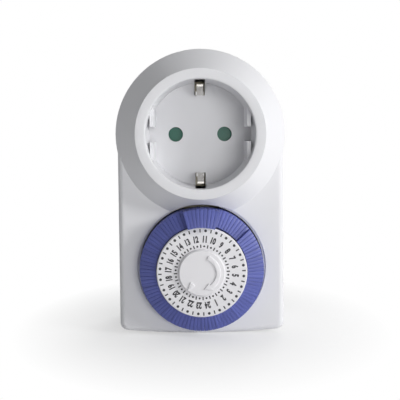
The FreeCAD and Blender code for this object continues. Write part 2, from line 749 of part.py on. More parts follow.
def make_neutral_bar():
    """Joins the neutral pin to the neutral sleeve."""
    body = new_body("neutral_bar")
    leg = size.leg_outer
    near = size.pin_half_pitch - size.strip_half
    folded(body, "strip", [(near, bar_back), (leg, bar_back), (leg, sleeve_bar_front),
                           (near, sleeve_bar_front), (near, sleeve_bar_back),
                           (leg - size.strip, sleeve_bar_back), (leg - size.strip, bar_front),
                           (near, bar_front)], size.strip_half)
    sleeve = size.sleeve_bore + size.sleeve_wall
    recess(body, "tail_hole", [disc(size.pin_half_pitch, 0, size.pin_tail + 0.05)],
           bar_back - 1, bar_front + 1)
    recess(body, "sleeve_hole", [disc(size.pin_half_pitch, 0, sleeve + 0.05)],
           sleeve_bar_back - 1, sleeve_bar_front + 1)
    return body


def make_live_inlet_bar():
    """Leads from the live pin down to the fixed contact."""
    body = new_body("live_inlet_bar")
    leg = size.leg_outer
    near = size.pin_half_pitch - size.strip_half
    front = size.inlet_level + size.strip
    folded(body, "strip", [(-near, bar_back), (-leg, bar_back), (-leg, front),
                           (size.strip - leg, front), (size.strip - leg, bar_front),
                           (-near, bar_front)], size.strip_half)
    recess(body, "tail_hole", [disc(-size.pin_half_pitch, 0, size.pin_tail + 0.05)],
           bar_back - 1, bar_front + 1)
    left = size.switch_x + size.switch_half
    right = size.switch_x - size.switch_half
    drop = size.contact_z + 3
    boss(body, "blade", [outline([(-leg + size.strip, size.strip_half), (-left, size.strip_half),
                                  (-left, -drop), (-right, -drop), (-right, -size.strip_half),
                                  (-leg + size.strip, -size.strip_half)])],
         size.inlet_level, front)
    recess(body, "contact_hole", [disc(-size.switch_x, -size.contact_z, as_size(0.8))],
           size.inlet_level - 1, front + 1)
    return body


def make_live_outlet_bar():
    """Leads from the contact arm's foot up to the live sleeve."""
    body = new_body("live_outlet_bar")
    near = size.pin_half_pitch - size.strip_half
    left = size.switch_x + size.arm_half + 0.5
    foot = size.arm_foot + 1.9
    strip_left = size.leg_outer
    strip_right = size.leg_outer - 4.0
    boss(body, "plate", [outline([(-near, size.strip_half), (-strip_left, size.strip_half),
                                  (-strip_left, 5 - foot), (-left, 5 - foot), (-left, -foot),
                                  (-strip_right, -foot), (-strip_right, -size.strip_half),
                                  (-near, -size.strip_half)])],
         sleeve_bar_back, sleeve_bar_front)
    sleeve = size.sleeve_bore + size.sleeve_wall
    recess(body, "sleeve_hole", [disc(-size.pin_half_pitch, 0, sleeve + 0.05)],
           sleeve_bar_back - 1, sleeve_bar_front + 1)
    arm_front = size.arm_level + size.strip
    half = size.arm_half + 0.5
    lip = size.arm_foot - 1.2
    bottom = -foot
    step = bottom + size.strip
    bent(body, "notch", [(sleeve_bar_front - 0.2, bottom), (sleeve_bar_front - 0.2, step),
                         (arm_front + 1.05, step), (arm_front + 1.05, -lip),
                         (arm_front + 0.25, -lip), (arm_front + 0.25, step),
                         (size.arm_level - 0.25, step), (size.arm_level - 0.25, -lip),
                         (size.arm_level - 1.05, -lip), (size.arm_level - 1.05, bottom)],
         half, across=-size.switch_x)
    return body


def make_contact_arm():
    body = new_body("contact_arm")
    half = size.arm_half
    front = size.arm_level + size.strip
    x = size.switch_x
    boss(body, "arm", [outline([(-x - half, -size.arm_foot), (-x + half, -size.arm_foot),
                                (-x + half, 2 - size.contact_z), (-x + 1, -size.arm_top),
                                (-x - 1, -size.arm_top), (-x - half, 2 - size.contact_z)])],
         size.arm_level, front)
    recess(body, "contact_hole", [disc(-x, -size.contact_z, as_size(0.8))],
           size.arm_level - 1, front + 1)
    bead = sketch_on(body, "YZ_Plane", "bead_sketch", -x)
    disc(-(size.arm_level + size.strip / 2), size.bead_radius / 2 - size.arm_foot,
         size.bead_radius)(bead)
    roll = body.newObject("PartDesign::Pad", "bead")
    roll.Profile = bead
    roll.SideType = "Symmetric"
    roll.setExpression("Length", (half * 2).text)
    return body


def make_contact(name, back, front, tail_back, tail_front):
    """A silver contact with its riveted tail."""
    body = new_body(name, across=-size.switch_x, drop=size.contact_z)
    boss(body, "head", [disc(0, 0, size.contact_radius)], back, front)
    boss(body, "tail", [disc(0, 0, as_size(0.75))], tail_back, tail_front)
    return body


def make_cam_follower():
    body = new_body("cam_follower", across=-size.switch_x, drop=size.dial_drop)
    rear = size.arm_level + size.strip + 0.1
    collar = plate_front + 0.3
    tip = size.follower_tip
    turned(body, "pin", [(rear, 0), (rear, size.follower_radius), (collar, size.follower_radius),
                         (collar, size.follower_head), (collar + 0.8, size.follower_head),
                         (collar + 0.8, size.follower_radius), (tip - 0.8, size.follower_radius),
                         (tip - 0.2, 0.8), (tip, 0)])
    return body


def make_coil(name, middle, start, end, radius, wire, turns, along):
    """An open coil spring: a six-sided wire led along a helix in short straight steps."""
    steps_per_turn = 12
    sides = 6
    height = end - start
    count = round(steps_per_turn * turns)
    step = 2 * math.pi / steps_per_turn
    points = [FreeCAD.Vector(radius * math.cos(i * step), radius * math.sin(i * step),
                             height * i / count) for i in range(count + 1)]
    way = (points[1] - points[0]).normalize()
    out = (FreeCAD.Vector(1, 0, 0) - way * way.x).normalize()
    side = way.cross(out)
    corner = 2 * math.pi / sides
    corners = [points[0] + (out * math.cos(k * corner) + side * math.sin(k * corner)) * wire
               for k in range(sides)]
    section = Part.makePolygon(corners + [corners[0]])
    gap = height / turns - 2 * wire
    print(f"{name}: least gap between turns {gap:.2f} mm")
    feature = document.addObject("Part::Feature", name)
    feature.Label = name
    feature.Shape = Part.makePolygon(points).makePipeShell([section], True, False, 1)
    turn = FreeCAD.Rotation(FreeCAD.Vector(0, 0, 1), along)
    feature.Placement = FreeCAD.Placement(middle + along * start, turn)
    return feature


# Earth clips

def make_socket_earth_clip():
    body = new_body("socket_earth_clip")
    sheet_thick = size.earth_sheet
    back = size.block_level - sheet_thick
    arm = size.earth_arm
    bump_level = floor_front + 4.5
    tip_level = floor_front + 10
    for name, way in (("upper", 1), ("lower", -1)):
        bent(body, name, [(back, 0), (back, way * (arm + sheet_thick)),
                          (floor_front, way * (arm + sheet_thick)),
                          (bump_level, way * (size.earth_bump + sheet_thick)),
                          (tip_level, way * size.earth_tip),
                          (tip_level, way * (size.earth_tip - sheet_thick)),
                          (bump_level, way * size.earth_bump), (floor_front, way * arm),
                          (size.block_level, way * arm), (size.block_level, 0)],
             size.earth_half)
    boss(body, "pad", [disc(0, 0, size.rivet_pad)], back, size.block_level)
    recess(body, "rivet_hole", [disc(0, 0, size.rivet_radius + 0.05)], back - 1,
           size.block_level + 1)
    return body


def make_plug_earth_clip():
    body = new_body("plug_earth_clip")
    sheet_thick = size.earth_sheet
    front = size.block_level - sheet_thick
    back = front - sheet_thick
    arm = size.plug_arm
    for name, way in (("upper", 1), ("lower", -1)):
        bent(body, name, [(front, 0), (front, way * (arm + sheet_thick)),
                          (11, way * (arm + sheet_thick)),
                          (7, way * (size.plug_bump + sheet_thick)), (5.8, way * (size.plug_bump + sheet_thick)),
                          (2, way * (arm + sheet_thick)), (2, way * arm),
                          (5.8, way * size.plug_bump), (7, way * size.plug_bump), (11, way * arm),
                          (back, way * arm), (back, 0)],
             size.earth_half)
    boss(body, "pad", [disc(0, 0, size.rivet_pad)], back, front)
    recess(body, "rivet_hole", [disc(0, 0, size.rivet_radius + 0.05)], back - 1, front + 1)
    return body


def make_earth_rivet():
    body = new_body("earth_rivet")
    back = size.block_level - size.earth_sheet * 2
    turned(body, "rivet", [(back - 0.8, 0), (back - 0.8, size.rivet_head - 0.4),
                           (back - 0.4, size.rivet_head), (back, size.rivet_head),
                           (back, size.rivet_radius), (block_front - 0.3, size.rivet_radius),
                           (block_front - 0.3, 0)])
    return body


# Shutter

def make_shutter():
    body = new_body("shutter_slider")
    back = block_front + 0.3
    front = floor_back - 0.3
    flap = size.shutter_flap
    reach = size.pin_half_pitch
    high = size.shutter_half
    flaps = [outline([(-reach - flap, -high), (flap - reach, -high), (flap - reach, -size.shutter_neck),
                      (reach - flap, -size.shutter_neck), (reach - flap, -high),
                      (reach + flap, -high), (reach + flap, high), (reach - flap, high),
                      (reach - flap, size.shutter_neck), (flap - reach, size.shutter_neck),
                      (flap - reach, high), (-reach - flap, high)])]
    boss(body, "slider", flaps, back, front)
    lug_left = size.spring_end + 0.2
    lug_right = lug_left + 3.0
    top = size.spring_drop + 1.4
    lug = [outline([(lug_left, high - 0.5), (lug_right, high - 0.5), (lug_right, top),
                    (lug_left, top)])]
    boss(body, "lug", lug, back, front)
    return body


# Movement

def make_movement_plate():
    body = new_body("movement_plate")
    half = plate_half
    top = size.plate_top
    ear = size.ear_top
    inner = size.ear_inner
    notch = half - 2.4
    low = size.plate_bottom
    boss(body, "plate", [outline([(-notch, -low), (notch, -low), (half, 2.4 - low), (half, -ear),
                                  (inner, -ear), (inner, -top), (-inner, -top), (-inner, -ear),
                                  (-half, -ear), (-half, 2.4 - low)])],
         size.plate_level, plate_front)
    boss(body, "pillar", [disc(0, -size.dial_drop, size.pillar_radius)], plate_front - 0.5,
         size.disc_front + 0.3)
    recess(body, "pillar_bore", [disc(0, -size.dial_drop, size.cap_stem + size.run)],
           size.disc_front - size.cap_stem_length - 0.5, size.disc_front + 1)
    follower = [(-size.switch_x, -size.dial_drop)]
    boss(body, "bushing", discs(follower, size.bushing_radius), size.plate_level - 2,
         size.plate_level + 0.5)
    boss(body, "spacers", discs(motor_screw_places, size.ear_radius), size.motor_front,
         size.plate_level + 0.5)
    recess(body, "follower_hole", discs(follower, size.follower_radius + size.slip),
           size.plate_level - 3, plate_front + 1)
    recess(body, "journal_hole", [disc(idler_x, -idler_drop, size.idler_journal + size.run)],
           size.plate_level - 1, plate_front + 1)
    recess(body, "screw_holes", discs(screw_places, size.screw_shank + size.slip * 2),
           size.plate_level - 1, plate_front + 1)
    recess(body, "motor_screw_holes", discs(motor_screw_places, size.small_screw),
           size.motor_front - 1, size.plate_level + 1)
    return body


def gear_teeth(body, name, teeth, back, front, turn):
    """Adds a toothed rim: a root disc and one tooth repeated round it."""
    reach = size.tooth_module * teeth / 2
    root = reach - size.tooth_module * 1.25
    tip = reach + size.tooth_module * 0.9
    wide = size.tooth_module * 0.86
    narrow = size.tooth_module * 0.34
    boss(body, f"{name}_disc", [disc(0, 0, root)], back, front)
    tooth = boss(body, f"{name}_tooth",
                 [outline([(root - 0.15, -wide), (tip, -narrow), (tip, narrow), (root - 0.15, wide)])],
                 back, front, turn)
    ring_of(body, f"{name}_teeth", tooth, teeth)


def make_dial_gear():
    body = new_body("dial_gear", drop=size.dial_drop)
    gear_teeth(body, "rim", size.dial_teeth, gear_back, gear_front, size.idler_angle)
    hub = size.pillar_radius + size.hub_wall
    boss(body, "hub", [disc(0, 0, hub)], gear_front - 0.5, gear_front + 0.4)
    recess(body, "bore", [disc(0, 0, size.pillar_radius + size.slip)], gear_back - 1,
           gear_front + 1)
    web = drum_inner - 1.2
    spokes = 5
    middle = (hub + web) / 2
    hole = (web - hub) / 2 - 0.6
    step = 360 / spokes
    places = [(middle * as_size(i * step).cosine(), middle * as_size(i * step).sine())
              for i in range(spokes)]
    recess(body, "openings", discs(places, hole), gear_back - 1, gear_front + 1)
    return body


def make_idler():
    body = new_body("idler_gear", across=idler_x, drop=idler_drop)
    gear_teeth(body, "large", size.idler_large, wheel_back, wheel_front, size.motor_angle)
    boss(body, "journal", [disc(0, 0, size.idler_journal)], wheel_front - 0.5, gear_back)
    half_step = 180 / size.idler_small
    gear_teeth(body, "small", size.idler_small, gear_back - 0.2, gear_front,
               size.idler_angle + 180 + half_step)
    boss(body, "pivot", [disc(0, 0, size.pivot_radius)], wheel_back - 2.8, wheel_back + 0.5)
    return body


def make_motor_pinion():
    body = new_body("motor_pinion", across=pinion_x, drop=pinion_drop)
    half_step = 180 / size.motor_teeth
    gear_teeth(body, "pinion", size.motor_teeth, wheel_back, wheel_front,
               size.motor_angle + 180 + half_step)
    boss(body, "shaft", [disc(0, 0, size.pivot_radius)], size.motor_front - 3, wheel_back + 0.5)
    return body


def make_motor():
    """A sealed synchronous motor with its reduction gears inside."""
    body = new_body("motor", across=motor_x, drop=motor_drop)
    front = size.motor_front
    radius = size.motor_radius
    turned(body, "case", [(size.motor_back, 0), (size.motor_back, radius - 1),
                          (size.motor_back + 1, radius), (front - 1.6, radius),
                          (front - 1.6, radius + 0.6), (front - 0.8, radius + 0.6),
                          (front - 0.8, radius - 0.6), (front, radius - 0.6), (front, 0)])
    right = [(ear_x, ear_z), (-ear_x, -ear_z)]
    boss(body, "ears", discs(right, size.ear_radius), front - size.ear_thick, front)
    long = [outline([(-ear_x - 0.6, 1.6 - ear_z), (0.6 - ear_x, -1.6 - ear_z),
                     (ear_x + 0.6, ear_z - 1.6), (ear_x - 0.6, ear_z + 1.6)])]
    boss(body, "ear_bar", long, front - size.ear_thick, front)
    recess(body, "ear_holes", discs(right, size.small_screw + size.slip),
           front - size.ear_thick - 1, front + 1)
    shaft = [(size.motor_offset_x, size.motor_offset_z)]
    boss(body, "bearing", discs(shaft, as_size(2.2)), front - 0.5, front + 0.3)
    recess(body, "shaft_hole", discs(shaft, size.pivot_radius + size.run), front - 3.4, front + 1)
    return body


def make_washer():
    body = new_body("dial_washer", drop=size.dial_drop)
    inner = size.pillar_radius + size.slip
    gap = gear_back - plate_front
    turned(body, "washer", [(plate_front, inner), (plate_front, inner + 3),
                            (plate_front + gap / 2, inner + 3), (plate_front + gap / 2, inner)])
    return body


# Dial

def make_dial_carrier():
    body = new_body("dial_carrier", drop=size.dial_drop)
    bore = size.pillar_radius + size.slip
    hub = size.pillar_radius + size.hub_wall
    back = gear_front
    web = gear_front + 1.5
    turned(body, "drum", [(back, hub + 0.1), (back, shoulder_outer),
                          (shoulder_level, shoulder_outer), (shoulder_level, drum_outer),
                          (disc_back, drum_outer), (disc_back, drum_inner), (web, drum_inner),
                          (web, hub), (disc_back, hub), (disc_back, bore),
                          (gear_front + 0.5, bore), (gear_front + 0.5, hub + 0.1)])
    fin_tip = size.stem_outer + 0.2
    fin = boss(body, "fin", [rectangle(shoulder_outer - 0.2, fin_tip, -size.fin_half, size.fin_half)],
               foot_down + 1.4, shoulder_level - 0.2, 90 - size.dial_hour * 15)
    ring_of(body, "fins", fin, size.tappet_count)
    return body


def make_number_disc():
    body = new_body("number_disc", drop=size.dial_drop)
    bore = size.pillar_radius + size.moving_gap
    edge = size.disc_radius
    turned(body, "disc", [(disc_back, bore), (disc_back, edge), (size.disc_front - 0.3, edge),
                          (size.disc_front, edge - 0.3), (size.disc_front, bore)])
    return body


def make_centre_disc():
    """The fixed disc with its pointer and arrow, pressed into the pillar."""
    body = new_body("centre_disc", drop=size.dial_drop)
    back = size.disc_front + 0.3
    front = back + size.cap_thick
    edge = size.cap_radius
    turned(body, "disc", [(back - size.cap_stem_length, 0), (back - size.cap_stem_length, size.cap_stem),
                          (back, size.cap_stem), (back, edge - 0.3), (back + 0.3, edge),
                          (front - 0.4, edge), (front, edge - 0.4), (front, 0)])
    return body


def make_tappet():
    """One tappet that is neither up nor down, pointing straight up."""
    body = new_body("one_tappet", drop=size.dial_drop)
    edge = size.tappet_edge
    skirt = edge - size.tappet_skirt
    inside = size.tappet_outer - size.skirt_wall
    lug = size.lug_level
    turned(body, "head", [(edge + size.tappet_rise, size.tappet_inner), (edge, size.tappet_outer),
                          (skirt, size.tappet_outer), (skirt, inside), (lug, inside),
                          (lug, size.lug_inner), (lug + size.lug_thick, size.lug_inner),
                          (lug + size.lug_thick, size.tappet_inner)],
           angle=pitch * size.tappet_part)
    turned(body, "stem", [(size.foot_level, size.stem_inner), (size.foot_level, size.stem_outer),
                          (lug + 0.5, size.stem_outer), (lug + 0.5, size.stem_inner)],
           angle=pitch * size.stem_part)
    return body


def make_tappets(name, tappet, first, last, lift):
    """The tappets from one place to another, counted clockwise from straight up."""
    axis = FreeCAD.Vector(0, 0, -size.dial_drop.value)
    solids = []
    for place in range(first, last):
        hour_turn = (size.dial_hour.value * 15) % pitch.value
        angle = (place + 0.5) * pitch.value + hour_turn
        solid = tappet.Shape.copy()
        solid.translate(FreeCAD.Vector(0, -lift, 0))
        solid.rotate(axis, FreeCAD.Vector(0, 1, 0), angle)
        solids.append(solid)
    feature = document.addObject("Part::Feature", name)
    feature.Label = name
    feature.Shape = Part.makeCompound(solids)
    return feature


def make_everything():
    pieces = [make_front_cover(), make_rear_cover(), make_socket_insert(), make_contact_block(),
              make_sleeve("socket_contact_live", -1), make_sleeve("socket_contact_neutral", 1),
              make_pin("plug_pin_live", -1), make_pin("plug_pin_neutral", 1),
              make_neutral_bar(), make_live_inlet_bar(), make_live_outlet_bar(),
              make_contact_arm(), make_cam_follower(), make_socket_earth_clip(),
              make_plug_earth_clip(), make_earth_rivet(), make_shutter(),
              make_movement_plate(), make_dial_gear(), make_idler(), make_motor_pinion(),
              make_motor(), make_washer(), make_dial_carrier(), make_number_disc(),
              make_centre_disc()]
    fixed_front = size.arm_level - 1.0 - size.contact_gap
    pieces.append(make_contact("fixed_contact", size.inlet_level + size.strip, fixed_front,
                               size.inlet_level, size.inlet_level + size.strip + 0.2))
    pieces.append(make_contact("moving_contact", size.arm_level - 1.0, size.arm_level,
                               size.arm_level - 0.2, size.arm_level + size.strip))
    tappet = make_tappet()
    document.recompute()
    up = size.tappet_up.value
    down = -size.tappet_down.value
    raised = int(size.first_raised.value)
    pushed = int(size.first_pushed.value)
    level = int(size.first_level.value)
    last = raised + int(size.tappet_count.value)
    pieces.append(make_tappets("tappets_raised", tappet, raised, pushed, up))
    pieces.append(make_tappets("tappets_pushed", tappet, pushed, level, down))
    pieces.append(make_tappets("tappets_level", tappet, level, last, 0.0))
    pieces.append(make_screws("housing_screws", screw_places, size.screw_shank.value,
                              size.screw_head.value, size.screw_head_thick.value,
                              (size.back_level + size.screw_sink).value,
                              size.screw_length.value))
    pieces.append(make_screws("motor_screws", motor_screw_places, size.small_screw.value,
                              size.small_head.value, size.small_head_thick.value,
                              (size.motor_front - size.ear_thick).value,
                              size.small_length.value))
    pieces.append(make_screws("block_screws", block_screw_places, size.small_screw.value,
                              size.small_head.value, size.small_head_thick.value,
                              size.block_level.value, size.small_length.value))
    arm = size.arm_level.value
    wire = size.coil_wire.value
    behind = FreeCAD.Vector(-size.switch_x.value, 0, -size.coil_drop.value)
    seat = (size.back_level + size.wall).value
    pieces.append(make_coil("contact_spring", behind, seat + wire + 0.05, arm - wire - 0.05,
                            size.coil_radius.value, wire, size.coil_turns.value,
                            FreeCAD.Vector(0, -1, 0)))
    middle = FreeCAD.Vector(0, -(block_front + 0.3 + size.shutter_thick / 2).value,
                            size.spring_drop.value)
    pieces.append(make_coil("shutter_spring", middle, size.spring_start.value,
                            size.spring_end.value, size.spring_radius.value,
                            size.spring_wire.value, size.spring_turns.value,
                            FreeCAD.Vector(1, 0, 0)))
    return pieces


def check_everything(pieces):
    """Stops if a feature failed, a cut took nothing away or a piece is not sound."""
    document.recompute()
    for item in document.Objects:
        if "Invalid" in item.State or "Error" in item.State:
            raise RuntimeError(f"{item.Name} failed: {item.State}")
        if item.TypeId in ("PartDesign::Pocket", "PartDesign::Groove"):
            before = item.BaseFeature.Shape.Volume
            if item.Shape.Volume > before - 1e-6:
                raise RuntimeError(f"{item.Name} cut nothing")
    for piece in pieces:
        shape = piece.Shape
        if shape.isNull() or not shape.isValid() or shape.Volume <= 0:
            raise RuntimeError(f"{piece.Label} is not a sound shape")


def main():
    pieces = make_everything()
    check_everything(pieces)
    os.makedirs("parts", exist_ok=True)
    for piece in pieces:
        piece.Shape.exportStep(f"parts/{piece.Label}.step")
        print(f"{piece.Label}: {len(piece.Shape.Solids)} solids, "
              f"{piece.Shape.Volume:.1f} cubic mm")


main()
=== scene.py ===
import json
import math

import bpy
from mathutils import Matrix, Vector

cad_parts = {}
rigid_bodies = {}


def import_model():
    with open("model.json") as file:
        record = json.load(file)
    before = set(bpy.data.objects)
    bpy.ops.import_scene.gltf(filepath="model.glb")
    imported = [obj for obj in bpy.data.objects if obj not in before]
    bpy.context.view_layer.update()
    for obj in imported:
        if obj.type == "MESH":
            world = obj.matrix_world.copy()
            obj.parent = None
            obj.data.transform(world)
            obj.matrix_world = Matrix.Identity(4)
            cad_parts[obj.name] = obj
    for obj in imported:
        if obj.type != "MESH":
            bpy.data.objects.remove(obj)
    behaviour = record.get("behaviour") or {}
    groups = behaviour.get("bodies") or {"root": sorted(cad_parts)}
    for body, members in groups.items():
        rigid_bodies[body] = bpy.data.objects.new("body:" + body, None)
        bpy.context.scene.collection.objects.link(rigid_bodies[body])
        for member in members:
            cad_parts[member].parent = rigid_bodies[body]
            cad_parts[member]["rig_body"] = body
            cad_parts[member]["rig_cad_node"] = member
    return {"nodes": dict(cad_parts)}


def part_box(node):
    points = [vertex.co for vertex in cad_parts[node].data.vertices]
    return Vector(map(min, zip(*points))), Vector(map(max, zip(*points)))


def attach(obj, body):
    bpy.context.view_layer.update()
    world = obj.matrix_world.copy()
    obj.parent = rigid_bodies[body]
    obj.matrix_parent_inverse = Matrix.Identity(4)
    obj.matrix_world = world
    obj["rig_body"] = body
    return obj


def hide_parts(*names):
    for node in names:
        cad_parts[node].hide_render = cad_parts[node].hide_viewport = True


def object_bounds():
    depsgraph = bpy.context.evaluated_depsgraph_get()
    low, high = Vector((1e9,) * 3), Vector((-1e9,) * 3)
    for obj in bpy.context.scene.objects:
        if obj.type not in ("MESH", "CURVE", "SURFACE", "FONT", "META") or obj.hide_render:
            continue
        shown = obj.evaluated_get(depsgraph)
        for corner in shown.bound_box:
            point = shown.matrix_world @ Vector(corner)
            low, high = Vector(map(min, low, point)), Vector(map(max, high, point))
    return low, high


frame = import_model()
CAD_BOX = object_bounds()

bl_info = {
    "name": "Plug-in timer switch",
    "version": (1, 0, 0),
    "blender": (4, 5, 0),
    "location": "3D View > Sidebar > Timer",
    "description": "Dresses the packed timer: covers, tappet ring, dial print, metal parts and stage",
    "category": "Object",
}

MM = 0.001

# Places read from the frame

DISC_LOW, DISC_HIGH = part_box("number_disc")
CAP_LOW, CAP_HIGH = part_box("centre_disc")
RING_LOW, RING_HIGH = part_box("tappets_level")
DIAL_Z = (DISC_LOW.z + DISC_HIGH.z) / 2
DISC_FRONT = DISC_LOW.y
CAP_FRONT = CAP_LOW.y
CAP_RADIUS = (CAP_HIGH.x - CAP_LOW.x) / 2
RING_RADIUS = (RING_HIGH.x - RING_LOW.x) / 2
RING_FRONT = RING_LOW.y

# Divisions of the dial

TAPPETS = 96
PITCH = 2 * math.pi / TAPPETS
HOURS = 24
HOUR_TURN = 2 * math.pi / HOURS


def clockwise(angle, radius):
    """A place on the dial's face; the angle runs clockwise from straight up."""
    return Vector((radius * math.sin(angle), 0, DIAL_Z + radius * math.cos(angle)))


# Settings

class TimerSizes(bpy.types.PropertyGroup):
    tappet_bevel: bpy.props.FloatProperty(
        name="Tappet edge", description="Rounding of the tappets' edges",
        default=0.10 * MM, unit="LENGTH")
    print_height: bpy.props.FloatProperty(
        name="Print height", description="Thickness of the printed numbers",
        default=0.03 * MM, unit="LENGTH")
    number_height: bpy.props.FloatProperty(
        name="Number height", description="Height of the hour numbers",
        default=2.5 * MM, unit="LENGTH")
    number_radius: bpy.props.FloatProperty(
        name="Number radius", description="Middle of the numbers from the dial's axis",
        default=12.1 * MM, unit="LENGTH")
    outer_scale: bpy.props.FloatProperty(
        name="Outer scale", description="Radius of the outer dots and ticks",
        default=15.15 * MM, unit="LENGTH")
    inner_scale: bpy.props.FloatProperty(
        name="Inner scale", description="Radius of the inner dots and ticks",
        default=9.5 * MM, unit="LENGTH")
    top_hour: bpy.props.FloatProperty(
        name="Hour at the top", description="Hour that points straight up", default=11.367)
    relief: bpy.props.FloatProperty(
        name="Relief", description="Height of the arrow and pointer on the centre disc",
        default=0.45 * MM, unit="LENGTH")


class TimerColours(bpy.types.PropertyGroup):
    white: bpy.props.FloatVectorProperty(
        name="White plastic", description="Covers and socket insert", subtype="COLOR",
        size=3, default=(0.78, 0.78, 0.80))
    disc: bpy.props.FloatVectorProperty(
        name="Dial plastic", description="Number disc and centre disc", subtype="COLOR",
        size=3, default=(0.84, 0.83, 0.85))
    blue: bpy.props.FloatVectorProperty(
        name="Tappet blue", description="Tappets", subtype="COLOR",
        size=3, default=(0.090, 0.108, 0.34))
    green: bpy.props.FloatVectorProperty(
        name="Shutter green", description="Shutter behind the pin holes", subtype="COLOR",
        size=3, default=(0.025, 0.13, 0.09))


# Shader maths

class Link:
    """A node's output, with Python's operators as Math nodes."""

    def __init__(self, nodes, socket):
        self.nodes = nodes
        self.socket = socket

    def __add__(self, other):
        return self.nodes.maths("ADD", self, other)

    def __radd__(self, other):
        return self.nodes.maths("ADD", other, self)

    def __sub__(self, other):
        return self.nodes.maths("SUBTRACT", self, other)

    def __rsub__(self, other):
        return self.nodes.maths("SUBTRACT", other, self)

    def __mul__(self, other):
        return self.nodes.maths("MULTIPLY", self, other)

    def __rmul__(self, other):
        return self.nodes.maths("MULTIPLY", other, self)

    def __truediv__(self, other):
        return self.nodes.maths("DIVIDE", self, other)

    def __rtruediv__(self, other):
        return self.nodes.maths("DIVIDE", other, self)

    def floor(self):
        return self.nodes.maths("FLOOR", self)

    def power(self, exponent):
        return self.nodes.maths("POWER", self, exponent)

    def clamp(self):
        return self.nodes.maths("MINIMUM", self.nodes.maths("MAXIMUM", self, 0.0), 1.0)

    def above(self, start, gain):
        """How far the value is past the start, times the gain."""
        return (self - start) * gain

    def swing(self, width):
        """A noise of 0 to 1 as a change up and down, of this width in all."""
        return self.above(0.5, width)


class Nodes:
    """A node tree, emptied first and then filled node by node."""

    def __init__(self, tree):
        self.tree = tree
        tree.nodes.clear()

    def plug(self, socket, value):
        """Links the socket or sets its value; a colour becomes opaque."""
        if isinstance(value, Link):
            self.tree.links.new(value.socket, socket)
        elif socket.type == "RGBA":
            socket.default_value = (*value, 1.0)
        else:
            socket.default_value = value

    def add(self, kind, settings=None, sockets=None, output=0):
        """Adds a node: its settings first, then the values or links of its sockets."""
        node = self.tree.nodes.new(kind)
        for name, value in (settings or {}).items():
            setattr(node, name, value)
        for name, value in (sockets or {}).items():
            self.plug(node.inputs[name], value)
        return Link(self, node.outputs[output])

    def maths(self, operation, *values):
        return self.add("ShaderNodeMath", {"operation": operation}, dict(enumerate(values)))

    def rays(self, *kinds):
        """1 for rays of these kinds, and 0 for the others."""
        first, *others = [self.add("ShaderNodeLightPath", output=f"Is {kind} Ray")
                          for kind in kinds]
        return sum(others, start=first).clamp()

    def blend(self, factor, shader, other):
        """Goes from one shader to the other as the factor goes from 0 to 1."""
        return self.add("ShaderNodeMixShader", sockets={0: factor, 1: shader, 2: other})

    def show(self, kind, shader):
        """Ends the tree in an output node of this kind."""
        self.plug(self.tree.nodes.new(kind).inputs["Surface"], shader)


# The Mix node has its sockets once for each kind of value, so its colour ones go by number

MIX_FACTOR, MIX_FIRST, MIX_SECOND = 0, 6, 7
MIX_RESULT = 2


class Finish(Nodes):
    """A material under construction."""

    def __init__(self, name, metallic=0.0, specular=0.5):
        self.material = bpy.data.materials.new(name)
        self.material.use_nodes = True
        super().__init__(self.material.node_tree)
        self.shader = self.add("ShaderNodeBsdfPrincipled", sockets={
            "Metallic": metallic, "Specular IOR Level": specular})
        self.place = self.add("ShaderNodeTexCoord", output="Object")

    def feed(self, name, value):
        self.plug(self.shader.socket.node.inputs[name], value)

    def part(self, axis):
        """The X, Y or Z of a place on the piece."""
        return self.add("ShaderNodeSeparateXYZ", sockets={"Vector": self.place}, output=axis)

    def noise(self, scale, detail, roughness=0.5, place=None):
        return self.add("ShaderNodeTexNoise", sockets={
            "Vector": place or self.place, "Scale": scale, "Detail": detail,
            "Roughness": roughness})

    def stretched(self, scale):
        """The place on the piece, with noise drawn out along an axis whose scale is small."""
        return self.add("ShaderNodeMapping", sockets={"Vector": self.place, "Scale": scale})

    def shade(self, colour, other, amount):
        """Goes from one colour to the other as the amount goes from 0 to 1."""
        return self.add("ShaderNodeMix", {"data_type": "RGBA"}, {
            MIX_FACTOR: amount, MIX_FIRST: colour, MIX_SECOND: other}, MIX_RESULT)

    def bump(self, height, strength, depth):
        self.feed("Normal", self.add("ShaderNodeBump", sockets={
            "Height": height, "Strength": strength, "Distance": depth}, output="Normal"))

    def surface(self):
        """The finished material, which shows its shader."""
        self.show("ShaderNodeOutputMaterial", self.shader)
        return self.material


def tone(colour, factor):
    return tuple(min(1.0, channel * factor) for channel in colour)


# Finishes: noise scales are in cells for a metre

SPARK_GRAIN = 2600.0
FLOW_CLOUDS = 70.0
CLOUD_START, CLOUD_GAIN = 0.45, 0.9
SCUFFS = 420.0
SCUFF_DULLNESS = 0.16
MOULD_DEPTH = 0.02 * MM


def moulded(name, colour, roughness, grain, mottle):
    """Moulded plastic: a fine spark-eroded grain, faint flow mottling and uneven gloss."""
    finish = Finish(name)
    spark = finish.noise(SPARK_GRAIN, detail=2.0)
    cloud = finish.noise(FLOW_CLOUDS, detail=4.0)
    scuff = finish.noise(SCUFFS, detail=5.0, roughness=0.65)
    clouding = cloud.above(CLOUD_START, CLOUD_GAIN)
    finish.feed("Base Color", finish.shade(colour, tone(colour, 1 - mottle), clouding))
    finish.feed("Roughness", scuff.swing(SCUFF_DULLNESS) + roughness)
    finish.bump(spark, grain, MOULD_DEPTH)
    return finish.surface()


